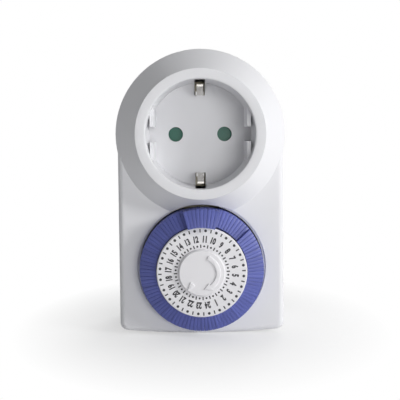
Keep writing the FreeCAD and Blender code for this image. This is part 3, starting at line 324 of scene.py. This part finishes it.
TAPPET_GRAIN = 2200.0
TAPPET_DEPTH = 0.06 * MM
STREAKS_ROUND = 90.0
STREAKS_OUTWARD = 120.0
PALE_TONE = 1.6
PALE_OWN, PALE_STREAK, PALE_START = 0.45, 0.75, 0.35
WORN_TONE = 0.55
WEAR_START, WEAR_GAIN, WEAR_MOST = 0.62, 4.0, 0.5
TAPPET_ROUGHNESS = 0.42
STREAK_DULLNESS = 0.2
STREAK_RELIEF, GRAIN_RELIEF = 0.7, 0.3
TAPPET_RELIEF = 0.35


def blue_moulding(colour):
    """Tappet blue: each tappet a little lighter or darker, with drawn streaks on its top."""
    finish = Finish("tappet_blue", specular=0.4)
    across = finish.part("X")
    up = finish.part("Z") - DIAL_Z
    angle = finish.maths("ARCTAN2", across, up)
    radius = (across * across + up * up).power(0.5)
    number = (angle / PITCH).floor()
    own = finish.add("ShaderNodeTexWhiteNoise", {"noise_dimensions": "1D"}, {"W": number})
    drawn = finish.add("ShaderNodeCombineXYZ", sockets={
        "X": angle * STREAKS_ROUND, "Y": radius * STREAKS_OUTWARD, "Z": number})
    streak = finish.noise(1.0, detail=3.0, roughness=0.6, place=drawn)
    grain = finish.noise(TAPPET_GRAIN, detail=2.0)
    paleness = (own * PALE_OWN + streak * PALE_STREAK - PALE_START).clamp()
    wear = streak.above(WEAR_START, WEAR_GAIN).clamp() * WEAR_MOST
    pale = finish.shade(colour, tone(colour, PALE_TONE), paleness)
    finish.feed("Base Color", finish.shade(pale, tone(colour, WORN_TONE), wear))
    finish.feed("Roughness", streak.swing(STREAK_DULLNESS) + TAPPET_ROUGHNESS)
    finish.bump(streak * STREAK_RELIEF + grain * GRAIN_RELIEF, TAPPET_RELIEF, TAPPET_DEPTH)
    return finish.surface()


DRAWN_LINES = 900.0
LINE_STRETCH = (1.0, 0.06, 1.0)
LINE_DULLNESS = 0.18
LINE_DEPTH = 0.02 * MM
TARNISH = 160.0
TARNISH_START, TARNISH_GAIN, TARNISH_MOST = 0.5, 2.0, 0.6
TARNISH_TONE = 0.6
TARNISH_DULLNESS = 0.1


def pressed_metal(name, colour, roughness, lines=0.15):
    """Strip or turned metal: fine drawn lines, and tarnish that dulls it in places."""
    finish = Finish(name, metallic=1.0)
    drawn = finish.noise(DRAWN_LINES, detail=2.0, place=finish.stretched(LINE_STRETCH))
    tarnish = finish.noise(TARNISH, detail=4.0)
    spots = tarnish.above(TARNISH_START, TARNISH_GAIN).clamp() * TARNISH_MOST
    finish.feed("Base Color", finish.shade(colour, tone(colour, TARNISH_TONE), spots))
    finish.feed("Roughness",
                drawn.swing(LINE_DULLNESS) + tarnish.swing(TARNISH_DULLNESS) + roughness)
    finish.bump(drawn, lines, LINE_DEPTH)
    return finish.surface()


INK_WEAR = 1500.0
INK_ROUGHNESS = 0.55
INK_DULLNESS = 0.2
INK = (0.012, 0.012, 0.014)
THIN_INK = (0.05, 0.05, 0.055)


def print_ink():
    """Black print, a little thinner and duller in spots."""
    finish = Finish("print_black")
    worn = finish.noise(INK_WEAR, detail=3.0)
    finish.feed("Base Color", finish.shade(INK, THIN_INK, worn))
    finish.feed("Roughness", worn.swing(INK_DULLNESS) + INK_ROUGHNESS)
    return finish.surface()


BLACK = (0.014, 0.014, 0.017)
IVORY = (0.70, 0.64, 0.50)
BRASS = (0.78, 0.57, 0.25)
NICKEL = (0.72, 0.70, 0.66)
STEEL = (0.60, 0.61, 0.63)
SILVER = (0.86, 0.85, 0.83)
INSERT_TONE = 0.99

materials = {}


def make_materials():
    colours = bpy.context.scene.timer_colours
    white = tuple(colours.white)
    insert = tone(white, INSERT_TONE)
    disc = tuple(colours.disc)
    green = tuple(colours.green)
    materials["white"] = moulded("housing_white", white, roughness=0.42, grain=0.12, mottle=0.036)
    materials["insert"] = moulded("insert_white", insert, roughness=0.38, grain=0.08, mottle=0.036)
    materials["disc"] = moulded("dial_white", disc, roughness=0.5, grain=0.08, mottle=0.03)
    materials["blue"] = blue_moulding(tuple(colours.blue))
    materials["black"] = moulded("carrier_black", BLACK, roughness=0.5, grain=0.1, mottle=0.3)
    materials["green"] = moulded("shutter_green", green, roughness=0.4, grain=0.1, mottle=0.24)
    materials["ivory"] = moulded("frame_ivory", IVORY, roughness=0.45, grain=0.1, mottle=0.15)
    materials["brass"] = pressed_metal("strip_brass", BRASS, roughness=0.32)
    materials["nickel"] = pressed_metal("nickel_plate", NICKEL, roughness=0.24)
    materials["steel"] = pressed_metal("zinc_steel", STEEL, roughness=0.34)
    materials["silver"] = pressed_metal("contact_silver", SILVER, roughness=0.25, lines=0.06)
    materials["ink"] = print_ink()


# Working on meshes

CAD_SMOOTHING = math.radians(24)
BEVEL_ANGLE = math.radians(40)
CAD_WELD = 0.002 * MM
SPIN_WELD = 0.001 * MM


def clear_selection():
    bpy.ops.object.select_all(action="DESELECT")


def take(*pieces):
    """Selects the pieces and nothing else, with the first one active."""
    clear_selection()
    for piece in pieces:
        piece.select_set(True)
    bpy.context.view_layer.objects.active = pieces[0]


def new_piece(name):
    """Names the piece that an operator has just made."""
    piece = bpy.context.active_object
    piece.name = name
    piece.data.name = name
    return piece


def settle(piece):
    """Puts the piece's place into its mesh, so that its object sits at the origin."""
    take(piece)
    bpy.ops.object.transform_apply(location=True, rotation=True, scale=True)
    return piece


def join(pieces, name):
    take(*pieces)
    bpy.ops.object.join()
    return settle(new_piece(name))


def body_of(node):
    return frame["nodes"][node]["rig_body"]


def dress(piece, finish, body):
    piece.data.materials.clear()
    piece.data.materials.append(materials[finish])
    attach(piece, body)


def smooth(piece, angle):
    take(piece)
    bpy.ops.object.shade_smooth_by_angle(angle=angle)


def apply_modifier(piece, kind, **settings):
    modifier = piece.modifiers.new(kind.lower(), kind)
    for name, value in settings.items():
        setattr(modifier, name, value)
    take(piece)
    bpy.ops.object.modifier_apply(modifier=modifier.name)


def bevel(piece, width, segments):
    apply_modifier(piece, "BEVEL", width=width, segments=segments, limit_method="ANGLE",
                   angle_limit=BEVEL_ANGLE)


def filled_outline(corners, name):
    """A face with the given corners, drawn from a circle of as many."""
    clear_selection()
    bpy.ops.mesh.primitive_circle_add(vertices=len(corners), radius=MM, fill_type="NGON")
    piece = new_piece(name)
    for vertex, corner in zip(piece.data.vertices, corners):
        vertex.co = corner
    return piece


def smooth_copy(node, name):
    """A merged copy of a CAD node whose round faces shade smoothly; it stands for the node."""
    take(frame["nodes"][node])
    bpy.ops.object.duplicate()
    piece = new_piece(name)
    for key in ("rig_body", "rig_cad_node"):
        if key in piece:
            del piece[key]
    bpy.ops.object.parent_clear(type="CLEAR_KEEP_TRANSFORM")
    bpy.ops.mesh.customdata_custom_splitnormals_clear()
    bpy.ops.object.mode_set(mode="EDIT")
    bpy.ops.mesh.select_all(action="SELECT")
    bpy.ops.mesh.remove_doubles(threshold=CAD_WELD)
    bpy.ops.object.mode_set(mode="OBJECT")
    smooth(piece, CAD_SMOOTHING)
    apply_modifier(piece, "WEIGHTED_NORMAL", weight=100, keep_sharp=True)
    return piece


# Pieces that keep the CAD's shape: the smooth ones are merged copies, the plain ones the nodes

SMOOTH = {
    "front_cover": "white", "rear_cover": "white", "socket_insert": "insert",
    "number_disc": "disc", "centre_disc": "disc", "shutter_slider": "green",
    "plug_pin_live": "nickel", "plug_pin_neutral": "nickel",
    "socket_contact_live": "brass", "socket_contact_neutral": "brass",
    "socket_earth_clip": "nickel", "plug_earth_clip": "nickel",
    "motor": "steel", "housing_screws": "steel",
}
PLAIN = {
    "dial_carrier": "black", "dial_gear": "black", "contact_block": "ivory",
    "movement_plate": "ivory", "idler_gear": "ivory", "cam_follower": "ivory",
    "dial_washer": "steel", "motor_pinion": "brass", "neutral_bar": "brass",
    "live_inlet_bar": "brass", "live_outlet_bar": "brass", "contact_arm": "brass",
    "fixed_contact": "silver", "moving_contact": "silver", "earth_rivet": "brass",
    "motor_screws": "steel", "block_screws": "steel", "contact_spring": "steel",
    "shutter_spring": "steel",
}


class TIMER_OT_housing(bpy.types.Operator):
    """Covers, insert, pins and clips, with smooth round faces"""
    bl_idname = "timer.housing"
    bl_label = "Housing and fittings"

    def execute(self, context):
        for node, finish in SMOOTH.items():
            piece = smooth_copy(node, f"{node}_shell")
            dress(piece, finish, body_of(node))
            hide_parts(node)
        return {"FINISHED"}


class TIMER_OT_inner_parts(bpy.types.Operator):
    """Finishes of the movement, switch and fasteners"""
    bl_idname = "timer.inner_parts"
    bl_label = "Inner parts"

    def execute(self, context):
        for node, finish in PLAIN.items():
            slots = frame["nodes"][node].data.materials
            slots.clear()
            slots.append(materials[finish])
        return {"FINISHED"}


# Tappets: fronts and backs are measured from the ring's front, and widths and faces from its rim

HEAD_WIDTH = 6.3 * MM
RIM_FALL = 2.5 * MM
SKIRT_HEIGHT = 8.0 * MM
SKIRT_WALL = 1.7 * MM
HEAD_BACK = 6.7 * MM
LUG_REACH = 1.7 * MM
LUG_HEIGHT = 2.0 * MM
HEAD_HALF = 0.485 * PITCH

STEM_FACES = (5.4 * MM, 2.4 * MM)
STEM_FRONT = 6.6 * MM
STEM_BACK = 16.1 * MM
STEM_HALF = 0.26 * PITCH

# Places of the groups, counted clockwise from straight up

RAISED_PLACES = range(-5, 4)
PUSHED_PLACES = range(4, 13)
LEVEL_PLACES = range(13, TAPPETS - 5)

TAPPET_SMOOTHING = math.radians(28)


def head_outline():
    """A tappet's head and skirt seen from the side: radius and level towards the front."""
    outer = RING_RADIUS
    front = -RING_FRONT
    edge = front - RIM_FALL
    inner = outer - HEAD_WIDTH
    skirt = edge - SKIRT_HEIGHT
    inside = outer - SKIRT_WALL
    lug = front - HEAD_BACK
    lug_end = inner - LUG_REACH
    lug_top = lug + LUG_HEIGHT
    return [(inner, front), (outer, edge), (outer, skirt), (inside, skirt), (inside, lug),
            (lug_end, lug), (lug_end, lug_top), (inner, lug_top)]


def stem_outline():
    """The stem seen from the side, in the same way."""
    inner, outer = (RING_RADIUS - width for width in STEM_FACES)
    back, front = -RING_FRONT - STEM_BACK, -RING_FRONT - STEM_FRONT
    return [(inner, back), (outer, back), (outer, front), (inner, front)]


def spin_solid(outline, half_angle, steps, name):
    """Spins an outline about the dial's axis into a closed wedge, half to each side."""
    turn = Matrix.Rotation(half_angle, 4, "Y")
    corners = [turn @ Vector((0, -level, radius)) for radius, level in outline]
    piece = filled_outline(corners, name)
    bpy.ops.object.mode_set(mode="EDIT")
    bpy.ops.mesh.select_all(action="SELECT")
    bpy.ops.mesh.spin(steps=steps, angle=2 * half_angle, center=(0, 0, 0), axis=(0, 1, 0))
    bpy.ops.mesh.select_all(action="SELECT")
    bpy.ops.mesh.remove_doubles(threshold=SPIN_WELD)
    bpy.ops.mesh.select_all(action="DESELECT")
    bpy.ops.mesh.select_non_manifold(extend=False, use_boundary=True)
    bpy.ops.mesh.edge_face_add()
    bpy.ops.mesh.select_all(action="SELECT")
    bpy.ops.mesh.normals_make_consistent(inside=False)
    bpy.ops.object.mode_set(mode="OBJECT")
    return piece


def one_tappet(edge):
    """A bevelled tappet straight above the dial's axis, with that axis at the origin."""
    head = spin_solid(head_outline(), HEAD_HALF, 2, "tappet_head")
    bevel(head, edge, segments=2)
    stem = spin_solid(stem_outline(), STEM_HALF, 1, "tappet_stem")
    return join([head, stem], "tappet")


def tappet_group(pattern, node, name, places, top_hour):
    """Copies of the pattern at these places, as far out as the CAD's own group stands."""
    dial_turn = (top_hour * HOUR_TURN) % PITCH
    lift = RING_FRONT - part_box(node)[0].y
    copies = []
    for place in places:
        copy = pattern.copy()
        copy.data = pattern.data.copy()
        bpy.context.scene.collection.objects.link(copy)
        turn = Matrix.Rotation((place + 0.5) * PITCH + dial_turn, 4, "Y")
        copy.matrix_world = Matrix.Translation((0, -lift, DIAL_Z)) @ turn
        copies.append(copy)
    group = join(copies, name)
    smooth(group, TAPPET_SMOOTHING)
    dress(group, "blue", body_of(node))
    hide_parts(node)


class TIMER_OT_tappets(bpy.types.Operator):
    """The ring of tappets: one is modelled, and the rest are its copies"""
    bl_idname = "timer.tappets"
    bl_label = "Tappets"

    def execute(self, context):
        sizes = context.scene.timer_sizes
        pattern = one_tappet(sizes.tappet_bevel)
        for node, name, places in (
                ("tappets_raised", "raised_tappets", RAISED_PLACES),
                ("tappets_pushed", "pushed_tappets", PUSHED_PLACES),
                ("tappets_level", "level_tappets", LEVEL_PLACES)):
            tappet_group(pattern, node, name, places, sizes.top_hour)
        bpy.data.objects.remove(pattern)
        return {"FINISHED"}


# Dial print: ticks have a length outwards and a width

OUTER_DOT, INNER_DOT = 0.5 * MM, 0.36 * MM
OUTER_TICK, INNER_TICK = (1.25 * MM, 0.44 * MM), (1.2 * MM, 0.42 * MM)
DOT_SIDES = 16
NUMBER_NARROWING = 0.66
NUMBER_WEIGHT = 0.05
NUMBER_SPACING = 0.98
CURVE_STEPS = 3
PRINT_LIFT = 0.01 * MM
FACING_FRONT = (math.pi / 2, 0, 0)


def printed_dot(angle, radius, dot):
    bpy.ops.mesh.primitive_circle_add(vertices=DOT_SIDES, radius=dot, fill_type="NGON",
                                      rotation=FACING_FRONT)
    piece = settle(bpy.context.active_object)
    piece.data.transform(Matrix.Translation(clockwise(angle, radius)))
    return piece


def printed_tick(angle, radius, size):
    length, width = size
    bpy.ops.mesh.primitive_plane_add(size=1, rotation=FACING_FRONT)
    piece = settle(bpy.context.active_object)
    shape = Matrix.Diagonal((width, 1, length, 1))
    turn = Matrix.Rotation(angle, 4, "Y")
    piece.data.transform(Matrix.Translation(clockwise(angle, radius)) @ turn @ shape)
    return piece


def printed_number(text, angle, radius, height):
    clear_selection()
    bpy.ops.object.text_add()
    words = bpy.context.active_object.data
    words.body = text
    words.align_x = "CENTER"
    words.align_y = "CENTER"
    words.offset = NUMBER_WEIGHT
    words.resolution_u = CURVE_STEPS
    words.space_character = NUMBER_SPACING
    bpy.ops.object.convert(target="MESH")
    piece = bpy.context.active_object
    box = [Vector(corner) for corner in piece.bound_box]
    middle = sum(box, Vector()) / len(box)
    tall = max(corner.y for corner in box) - min(corner.y for corner in box)
    scale = height / tall
    upright = Matrix.Rotation(math.pi / 2, 4, "X")
    narrow = Matrix.Diagonal((scale * NUMBER_NARROWING, scale, scale, 1))
    turn = Matrix.Rotation(angle, 4, "Y")
    place = Matrix.Translation(clockwise(angle, radius))
    piece.data.transform(place @ turn @ upright @ narrow @ Matrix.Translation(-middle))
    return piece


class TIMER_OT_dial_print(bpy.types.Operator):
    """Hour numbers with an outer and an inner scale of dots and ticks"""
    bl_idname = "timer.dial_print"
    bl_label = "Dial print"

    def execute(self, context):
        sizes = context.scene.timer_sizes
        marks = []
        for hour in range(1, HOURS + 1):
            angle = (sizes.top_hour - hour) * HOUR_TURN
            half_past = angle + HOUR_TURN / 2
            marks.append(printed_dot(angle, sizes.outer_scale, OUTER_DOT))
            marks.append(printed_tick(half_past, sizes.outer_scale, OUTER_TICK))
            marks.append(printed_dot(angle, sizes.inner_scale, INNER_DOT))
            marks.append(printed_tick(half_past, sizes.inner_scale, INNER_TICK))
            marks.append(printed_number(str(hour), angle, sizes.number_radius,
                                        sizes.number_height))
        ink = join(marks, "dial_print")
        ink.data.transform(Matrix.Translation((0, DISC_FRONT - PRINT_LIFT, 0)))
        apply_modifier(ink, "SOLIDIFY", thickness=sizes.print_height, offset=0)
        dress(ink, "ink", body_of("number_disc"))
        return {"FINISHED"}


# Centre disc: angles run clockwise from straight up

RELIEF_ROOT = 0.1 * MM
RELIEF_SMOOTHING = math.radians(50)

ARROW_RADIUS = 5.9 * MM
ARROW_HALF = 0.85 * MM
ARROW_START = math.radians(20)
ARROW_NECK = math.radians(146)
ARROW_TIP = math.radians(172)
ARROW_STEPS = 18
ARROW_BARB = 1.9 * ARROW_HALF
ARROW_EDGE = 0.22 * MM

POINTER_AIM = math.radians(221)
POINTER_SPREAD = math.radians(13)
POINTER_TIP = CAP_RADIUS - 0.35 * MM
POINTER_FOOT = 5.1 * MM
POINTER_EDGE = 0.2 * MM


def raised_shape(corners, name, height, edge):
    """A flat outline on the centre disc, drawn up into relief with a soft edge."""
    root = CAP_FRONT + RELIEF_ROOT
    piece = filled_outline([Vector((corner.x, root, corner.z)) for corner in corners], name)
    bpy.ops.object.mode_set(mode="EDIT")
    bpy.ops.mesh.select_all(action="SELECT")
    bpy.ops.mesh.extrude_region_move(
        TRANSFORM_OT_translate={"value": (0, -height - RELIEF_ROOT, 0)})
    bpy.ops.mesh.select_all(action="SELECT")
    bpy.ops.mesh.normals_make_consistent(inside=False)
    bpy.ops.object.mode_set(mode="OBJECT")
    bevel(piece, edge, segments=3)
    smooth(piece, RELIEF_SMOOTHING)
    dress(piece, "disc", body_of("centre_disc"))


def arrow_corners():
    """A curved arrow that runs clockwise, from just past the top to the lower right."""
    step = (ARROW_NECK - ARROW_START) / ARROW_STEPS
    sweep = [ARROW_START + step * count for count in range(ARROW_STEPS + 1)]
    outer = [clockwise(angle, ARROW_RADIUS + ARROW_HALF) for angle in sweep]
    inner = [clockwise(angle, ARROW_RADIUS - ARROW_HALF) for angle in reversed(sweep)]
    head = [clockwise(ARROW_NECK, ARROW_RADIUS + ARROW_BARB),
            clockwise(ARROW_TIP, ARROW_RADIUS),
            clockwise(ARROW_NECK, ARROW_RADIUS - ARROW_BARB)]
    return outer + head + inner


def pointer_corners():
    """A narrow triangle that points outwards to the numbers."""
    return [clockwise(POINTER_AIM, POINTER_TIP),
            clockwise(POINTER_AIM + POINTER_SPREAD, POINTER_FOOT),
            clockwise(POINTER_AIM - POINTER_SPREAD, POINTER_FOOT)]


class TIMER_OT_centre_relief(bpy.types.Operator):
    """The arrow and the pointer that stand on the fixed centre disc"""
    bl_idname = "timer.centre_relief"
    bl_label = "Arrow and pointer"

    def execute(self, context):
        relief = context.scene.timer_sizes.relief
        raised_shape(arrow_corners(), "turning_arrow", relief, ARROW_EDGE)
        raised_shape(pointer_corners(), "time_pointer", relief, POINTER_EDGE)
        return {"FINISHED"}


# Stage: the floor's glow is the share of plain white, and it grows outwards

FLOOR_SIZE = 6.0
FLOOR_GAP = 0.02 * MM
FLOOR_BRIGHTNESS = 0.9
FLOOR_ROUGHNESS = 0.9
SHADOW_MIDDLE_Y = -30 * MM
GLOW_RADIUS = 50 * MM
GLOW_AT_RADIUS = 0.76
GLOW_GROWTH = 100 * MM

SKY_COLOUR = (0.95, 0.97, 1.0)
SKY_STRENGTH = 0.15
LAMP_AIM = Vector((0, -0.045, -0.02))

CAMERA_PLACE = (-0.002, -0.268, 0.0)
CAMERA_PITCH = math.radians(2.5)
CAMERA_ROLL = math.radians(0.6)
CAMERA_SENSOR_MM = 36.0
CAMERA_LENS_MM = 53.2
CAMERA_SHIFT = (0.012, -0.10)
CAMERA_CLIP = (0.01, 20.0)


def pale_ground():
    """A floor that takes the object's shadow nearby and is plain white further out."""
    finish = Finish("floor_white", specular=0.0)
    finish.feed("Base Color", (FLOOR_BRIGHTNESS,) * 3)
    finish.feed("Roughness", FLOOR_ROUGHNESS)
    across = finish.part("X")
    deep = finish.part("Y") - SHADOW_MIDDLE_Y
    far = (across * across + deep * deep).power(0.5)
    glow = ((far - GLOW_RADIUS) / GLOW_GROWTH + GLOW_AT_RADIUS).clamp()
    white = finish.add("ShaderNodeEmission")
    seen = finish.rays("Camera", "Glossy")
    finish.show("ShaderNodeOutputMaterial", finish.blend(seen * glow, finish.shader, white))
    return finish.material


def add_floor():
    clear_selection()
    bpy.ops.mesh.primitive_plane_add(size=FLOOR_SIZE)
    floor = new_piece("floor")
    floor.data.transform(Matrix.Translation((0, 0, CAD_BOX[0].z - FLOOR_GAP)))
    floor.data.materials.append(pale_ground())


def add_sky(scene):
    """A weak cool light all round, which a camera or a glossy surface sees as plain white."""
    world = bpy.data.worlds.new("studio")
    world.use_nodes = True
    scene.world = world
    nodes = Nodes(world.node_tree)
    light = nodes.add("ShaderNodeBackground", sockets={
        "Color": SKY_COLOUR, "Strength": SKY_STRENGTH})
    white = nodes.add("ShaderNodeBackground", sockets={"Color": (1, 1, 1)})
    seen = nodes.rays("Camera", "Glossy", "Transmission")
    nodes.show("ShaderNodeOutputWorld", nodes.blend(seen, light, white))


def add_lamp(name, place, size, power):
    """A round lamp; all of them are aimed at the same point in the object."""
    bpy.ops.object.light_add(type="AREA", location=place)
    lamp = bpy.context.active_object
    lamp.name = name
    lamp.data.shape = "DISK"
    lamp.data.size = size
    lamp.data.energy = power
    lamp.rotation_euler = (LAMP_AIM - Vector(place)).to_track_quat("-Z", "Y").to_euler()


def add_camera(scene):
    bpy.ops.object.camera_add(location=CAMERA_PLACE)
    camera = bpy.context.active_object
    camera.name = "camera"
    level = Matrix.Rotation(math.pi / 2 - CAMERA_PITCH, 3, "X")
    camera.rotation_euler = (level @ Matrix.Rotation(-CAMERA_ROLL, 3, "Z")).to_euler()
    camera.data.sensor_width = CAMERA_SENSOR_MM
    camera.data.lens = CAMERA_LENS_MM
    camera.data.shift_x, camera.data.shift_y = CAMERA_SHIFT
    camera.data.clip_start, camera.data.clip_end = CAMERA_CLIP
    scene.camera = camera


class TIMER_OT_stage(bpy.types.Operator):
    """Floor, lamps, surroundings and camera"""
    bl_idname = "timer.stage"
    bl_label = "Stage"

    def execute(self, context):
        add_floor()
        add_sky(context.scene)
        add_lamp("key_lamp", place=(0.64, -0.36, 0.20), size=0.16, power=3.0)
        add_lamp("front_lamp", place=(0.30, -0.74, -0.06), size=0.45, power=3.4)
        add_lamp("rear_lamp", place=(0.35, 0.75, 0.40), size=0.50, power=4.0)
        add_camera(context.scene)
        context.scene.view_settings.view_transform = "Standard"
        return {"FINISHED"}


class TIMER_PT_panel(bpy.types.Panel):
    bl_label = "Timer switch"
    bl_idname = "TIMER_PT_panel"
    bl_space_type = "VIEW_3D"
    bl_region_type = "UI"
    bl_category = "Timer"

    def draw(self, context):
        layout = self.layout
        for group in (context.scene.timer_sizes, context.scene.timer_colours):
            for name in group.__annotations__:
                layout.prop(group, name)
        for operator in OPERATORS:
            layout.operator(operator.bl_idname)


OPERATORS = (TIMER_OT_housing, TIMER_OT_inner_parts, TIMER_OT_tappets, TIMER_OT_dial_print,
             TIMER_OT_centre_relief, TIMER_OT_stage)
CLASSES = (TimerSizes, TimerColours, *OPERATORS, TIMER_PT_panel)


def register():
    for made in CLASSES:
        bpy.utils.register_class(made)
    bpy.types.Scene.timer_sizes = bpy.props.PointerProperty(type=TimerSizes)
    bpy.types.Scene.timer_colours = bpy.props.PointerProperty(type=TimerColours)


def unregister():
    del bpy.types.Scene.timer_colours
    del bpy.types.Scene.timer_sizes
    for made in reversed(CLASSES):
        bpy.utils.unregister_class(made)


def main():
    register()
    make_materials()
    bpy.ops.timer.housing()
    bpy.ops.timer.inner_parts()
    bpy.ops.timer.tappets()
    bpy.ops.timer.dial_print()
    bpy.ops.timer.centre_relief()
    bpy.ops.timer.stage()
    clear_selection()


if __name__ == "__main__":
    main()
